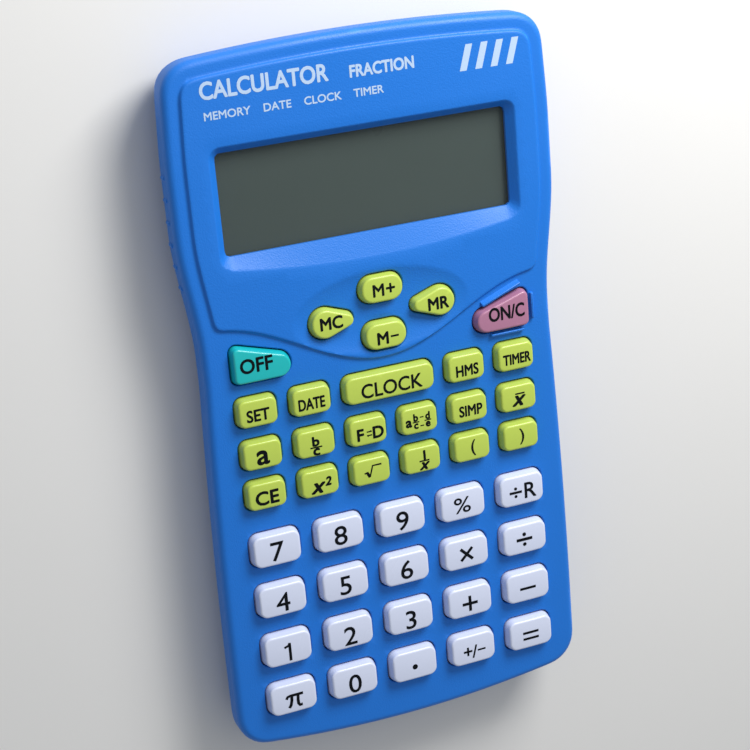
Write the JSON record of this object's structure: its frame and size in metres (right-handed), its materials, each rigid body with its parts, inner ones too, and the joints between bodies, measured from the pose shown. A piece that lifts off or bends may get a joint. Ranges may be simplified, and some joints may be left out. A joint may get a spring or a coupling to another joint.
{
  "type": "pocket calculator",
  "caption": "Flat handheld scientific calculator with a waisted two-shell case, a recessed display, a wavy raised panel and separate pressing keys",
  "frame": {"origin": "centre of the bounding box in X and Y, on the resting surface under the feet", "axes": "+X to the right of the reader, +Y towards the display end, +Z out of the key face"},
  "size_m": [0.0824, 0.15, 0.0144],
  "materials": {
    "case_blue": "fine satin moulded blue",
    "key_white": "satin cool white",
    "key_lime": "satin yellow-green",
    "key_teal": "satin teal",
    "key_rose": "satin dusty rose",
    "window_clear": "clear plastic sheet",
    "lcd_glass": "grey-green reflective display",
    "elastomer": "layered conductive strip",
    "board": "green lacquered board",
    "mat_rubber": "soft moulded mat",
    "epoxy": "black potting drop",
    "can_metal": "drawn can",
    "small_parts": "ceramic chips",
    "cell_steel": "nickel-plated can",
    "contact_metal": "plated spring strip",
    "screw_steel": "zinc-plated",
    "foot_rubber": "matt black"
  },
  "bodies": {
    "body": {"front_case": "case_blue", "rear_case": "case_blue", "display_window": "window_clear", "lcd_panel": "lcd_glass", "zebra_strip": "elastomer", "circuit_board": "board", "key_mat": "mat_rubber", "chip_blob": "epoxy", "crystal": "can_metal", "smd_parts": "small_parts", "battery_cell": "cell_steel", "battery_contact_positive": "contact_metal", "battery_contact_negative": "contact_metal", "case_screws": "screw_steel", "board_screws": "screw_steel", "rubber_feet": "foot_rubber"},
    "battery_cover": {"battery_cover": "case_blue"},
    "key_off": {"key_off": "key_teal"},
    "key_on_clear": {"key_on_clear": "key_rose"},
    "key_memory_plus": {"key_memory_plus": "key_lime"},
    "key_memory_minus": {"key_memory_minus": "key_lime"},
    "key_memory_recall": {"key_memory_recall": "key_lime"},
    "key_memory_clear": {"key_memory_clear": "key_lime"},
    "key_set": {"key_set": "key_lime"},
    "key_date": {"key_date": "key_lime"},
    "key_clock": {"key_clock": "key_lime"},
    "key_hms": {"key_hms": "key_lime"},
    "key_timer": {"key_timer": "key_lime"},
    "key_whole_part": {"key_whole_part": "key_lime"},
    "key_fraction": {"key_fraction": "key_lime"},
    "key_fraction_decimal": {"key_fraction_decimal": "key_lime"},
    "key_mixed_fraction": {"key_mixed_fraction": "key_lime"},
    "key_simplify": {"key_simplify": "key_lime"},
    "key_mean": {"key_mean": "key_lime"},
    "key_clear_entry": {"key_clear_entry": "key_lime"},
    "key_square": {"key_square": "key_lime"},
    "key_root": {"key_root": "key_lime"},
    "key_reciprocal": {"key_reciprocal": "key_lime"},
    "key_bracket_open": {"key_bracket_open": "key_lime"},
    "key_bracket_close": {"key_bracket_close": "key_lime"},
    "key_7": {"key_7": "key_white"},
    "key_8": {"key_8": "key_white"},
    "key_9": {"key_9": "key_white"},
    "key_percent": {"key_percent": "key_white"},
    "key_remainder": {"key_remainder": "key_white"},
    "key_4": {"key_4": "key_white"},
    "key_5": {"key_5": "key_white"},
    "key_6": {"key_6": "key_white"},
    "key_times": {"key_times": "key_white"},
    "key_divide": {"key_divide": "key_white"},
    "key_1": {"key_1": "key_white"},
    "key_2": {"key_2": "key_white"},
    "key_3": {"key_3": "key_white"},
    "key_plus": {"key_plus": "key_white"},
    "key_minus": {"key_minus": "key_white"},
    "key_pi": {"key_pi": "key_white"},
    "key_0": {"key_0": "key_white"},
    "key_point": {"key_point": "key_white"},
    "key_sign": {"key_sign": "key_white"},
    "key_equals": {"key_equals": "key_white"}
  },
  "joints": [
    {"name": "key_off_press", "type": "slide", "parent": "body", "child": "key_off", "axis": [0, 0, -1], "range_m": [0, 0.001], "stiffness_N_per_m": 400, "deforming": ["key_mat"]},
    {"name": "key_on_clear_press", "type": "slide", "parent": "body", "child": "key_on_clear", "axis": [0, 0, -1], "range_m": [0, 0.001], "stiffness_N_per_m": 400, "deforming": ["key_mat"]},
    {"name": "key_memory_plus_press", "type": "slide", "parent": "body", "child": "key_memory_plus", "axis": [0, 0, -1], "range_m": [0, 0.001], "stiffness_N_per_m": 400, "deforming": ["key_mat"]},
    {"name": "key_memory_minus_press", "type": "slide", "parent": "body", "child": "key_memory_minus", "axis": [0, 0, -1], "range_m": [0, 0.001], "stiffness_N_per_m": 400, "deforming": ["key_mat"]},
    {"name": "key_memory_recall_press", "type": "slide", "parent": "body", "child": "key_memory_recall", "axis": [0, 0, -1], "range_m": [0, 0.001], "stiffness_N_per_m": 400, "deforming": ["key_mat"]},
    {"name": "key_memory_clear_press", "type": "slide", "parent": "body", "child": "key_memory_clear", "axis": [0, 0, -1], "range_m": [0, 0.001], "stiffness_N_per_m": 400, "deforming": ["key_mat"]},
    {"name": "key_set_press", "type": "slide", "parent": "body", "child": "key_set", "axis": [0, 0, -1], "range_m": [0, 0.001], "stiffness_N_per_m": 400, "deforming": ["key_mat"]},
    {"name": "key_date_press", "type": "slide", "parent": "body", "child": "key_date", "axis": [0, 0, -1], "range_m": [0, 0.001], "stiffness_N_per_m": 400, "deforming": ["key_mat"]},
    {"name": "key_clock_press", "type": "slide", "parent": "body", "child": "key_clock", "axis": [0, 0, -1], "range_m": [0, 0.001], "stiffness_N_per_m": 400, "deforming": ["key_mat"]},
    {"name": "key_hms_press", "type": "slide", "parent": "body", "child": "key_hms", "axis": [0, 0, -1], "range_m": [0, 0.001], "stiffness_N_per_m": 400, "deforming": ["key_mat"]},
    {"name": "key_timer_press", "type": "slide", "parent": "body", "child": "key_timer", "axis": [0, 0, -1], "range_m": [0, 0.001], "stiffness_N_per_m": 400, "deforming": ["key_mat"]},
    {"name": "key_whole_part_press", "type": "slide", "parent": "body", "child": "key_whole_part", "axis": [0, 0, -1], "range_m": [0, 0.001], "stiffness_N_per_m": 400, "deforming": ["key_mat"]},
    {"name": "key_fraction_press", "type": "slide", "parent": "body", "child": "key_fraction", "axis": [0, 0, -1], "range_m": [0, 0.001], "stiffness_N_per_m": 400, "deforming": ["key_mat"]},
    {"name": "key_fraction_decimal_press", "type": "slide", "parent": "body", "child": "key_fraction_decimal", "axis": [0, 0, -1], "range_m": [0, 0.001], "stiffness_N_per_m": 400, "deforming": ["key_mat"]},
    {"name": "key_mixed_fraction_press", "type": "slide", "parent": "body", "child": "key_mixed_fraction", "axis": [0, 0, -1], "range_m": [0, 0.001], "stiffness_N_per_m": 400, "deforming": ["key_mat"]},
    {"name": "key_simplify_press", "type": "slide", "parent": "body", "child": "key_simplify", "axis": [0, 0, -1], "range_m": [0, 0.001], "stiffness_N_per_m": 400, "deforming": ["key_mat"]},
    {"name": "key_mean_press", "type": "slide", "parent": "body", "child": "key_mean", "axis": [0, 0, -1], "range_m": [0, 0.001], "stiffness_N_per_m": 400, "deforming": ["key_mat"]},
    {"name": "key_clear_entry_press", "type": "slide", "parent": "body", "child": "key_clear_entry", "axis": [0, 0, -1], "range_m": [0, 0.001], "stiffness_N_per_m": 400, "deforming": ["key_mat"]},
    {"name": "key_square_press", "type": "slide", "parent": "body", "child": "key_square", "axis": [0, 0, -1], "range_m": [0, 0.001], "stiffness_N_per_m": 400, "deforming": ["key_mat"]},
    {"name": "key_root_press", "type": "slide", "parent": "body", "child": "key_root", "axis": [0, 0, -1], "range_m": [0, 0.001], "stiffness_N_per_m": 400, "deforming": ["key_mat"]},
    {"name": "key_reciprocal_press", "type": "slide", "parent": "body", "child": "key_reciprocal", "axis": [0, 0, -1], "range_m": [0, 0.001], "stiffness_N_per_m": 400, "deforming": ["key_mat"]},
    {"name": "key_bracket_open_press", "type": "slide", "parent": "body", "child": "key_bracket_open", "axis": [0, 0, -1], "range_m": [0, 0.001], "stiffness_N_per_m": 400, "deforming": ["key_mat"]},
    {"name": "key_bracket_close_press", "type": "slide", "parent": "body", "child": "key_bracket_close", "axis": [0, 0, -1], "range_m": [0, 0.001], "stiffness_N_per_m": 400, "deforming": ["key_mat"]},
    {"name": "key_7_press", "type": "slide", "parent": "body", "child": "key_7", "axis": [0, 0, -1], "range_m": [0, 0.001], "stiffness_N_per_m": 400, "deforming": ["key_mat"]},
    {"name": "key_8_press", "type": "slide", "parent": "body", "child": "key_8", "axis": [0, 0, -1], "range_m": [0, 0.001], "stiffness_N_per_m": 400, "deforming": ["key_mat"]},
    {"name": "key_9_press", "type": "slide", "parent": "body", "child": "key_9", "axis": [0, 0, -1], "range_m": [0, 0.001], "stiffness_N_per_m": 400, "deforming": ["key_mat"]},
    {"name": "key_percent_press", "type": "slide", "parent": "body", "child": "key_percent", "axis": [0, 0, -1], "range_m": [0, 0.001], "stiffness_N_per_m": 400, "deforming": ["key_mat"]},
    {"name": "key_remainder_press", "type": "slide", "parent": "body", "child": "key_remainder", "axis": [0, 0, -1], "range_m": [0, 0.001], "stiffness_N_per_m": 400, "deforming": ["key_mat"]},
    {"name": "key_4_press", "type": "slide", "parent": "body", "child": "key_4", "axis": [0, 0, -1], "range_m": [0, 0.001], "stiffness_N_per_m": 400, "deforming": ["key_mat"]},
    {"name": "key_5_press", "type": "slide", "parent": "body", "child": "key_5", "axis": [0, 0, -1], "range_m": [0, 0.001], "stiffness_N_per_m": 400, "deforming": ["key_mat"]},
    {"name": "key_6_press", "type": "slide", "parent": "body", "child": "key_6", "axis": [0, 0, -1], "range_m": [0, 0.001], "stiffness_N_per_m": 400, "deforming": ["key_mat"]},
    {"name": "key_times_press", "type": "slide", "parent": "body", "child": "key_times", "axis": [0, 0, -1], "range_m": [0, 0.001], "stiffness_N_per_m": 400, "deforming": ["key_mat"]},
    {"name": "key_divide_press", "type": "slide", "parent": "body", "child": "key_divide", "axis": [0, 0, -1], "range_m": [0, 0.001], "stiffness_N_per_m": 400, "deforming": ["key_mat"]},
    {"name": "key_1_press", "type": "slide", "parent": "body", "child": "key_1", "axis": [0, 0, -1], "range_m": [0, 0.001], "stiffness_N_per_m": 400, "deforming": ["key_mat"]},
    {"name": "key_2_press", "type": "slide", "parent": "body", "child": "key_2", "axis": [0, 0, -1], "range_m": [0, 0.001], "stiffness_N_per_m": 400, "deforming": ["key_mat"]},
    {"name": "key_3_press", "type": "slide", "parent": "body", "child": "key_3", "axis": [0, 0, -1], "range_m": [0, 0.001], "stiffness_N_per_m": 400, "deforming": ["key_mat"]},
    {"name": "key_plus_press", "type": "slide", "parent": "body", "child": "key_plus", "axis": [0, 0, -1], "range_m": [0, 0.001], "stiffness_N_per_m": 400, "deforming": ["key_mat"]},
    {"name": "key_minus_press", "type": "slide", "parent": "body", "child": "key_minus", "axis": [0, 0, -1], "range_m": [0, 0.001], "stiffness_N_per_m": 400, "deforming": ["key_mat"]},
    {"name": "key_pi_press", "type": "slide", "parent": "body", "child": "key_pi", "axis": [0, 0, -1], "range_m": [0, 0.001], "stiffness_N_per_m": 400, "deforming": ["key_mat"]},
    {"name": "key_0_press", "type": "slide", "parent": "body", "child": "key_0", "axis": [0, 0, -1], "range_m": [0, 0.001], "stiffness_N_per_m": 400, "deforming": ["key_mat"]},
    {"name": "key_point_press", "type": "slide", "parent": "body", "child": "key_point", "axis": [0, 0, -1], "range_m": [0, 0.001], "stiffness_N_per_m": 400, "deforming": ["key_mat"]},
    {"name": "key_sign_press", "type": "slide", "parent": "body", "child": "key_sign", "axis": [0, 0, -1], "range_m": [0, 0.001], "stiffness_N_per_m": 400, "deforming": ["key_mat"]},
    {"name": "key_equals_press", "type": "slide", "parent": "body", "child": "key_equals", "axis": [0, 0, -1], "range_m": [0, 0.001], "stiffness_N_per_m": 400, "deforming": ["key_mat"]},
    {"name": "battery_cover_slide", "type": "slide", "parent": "body", "child": "battery_cover", "axis": [0, 1, 0], "range_m": [0, 0.04]}
  ]
}
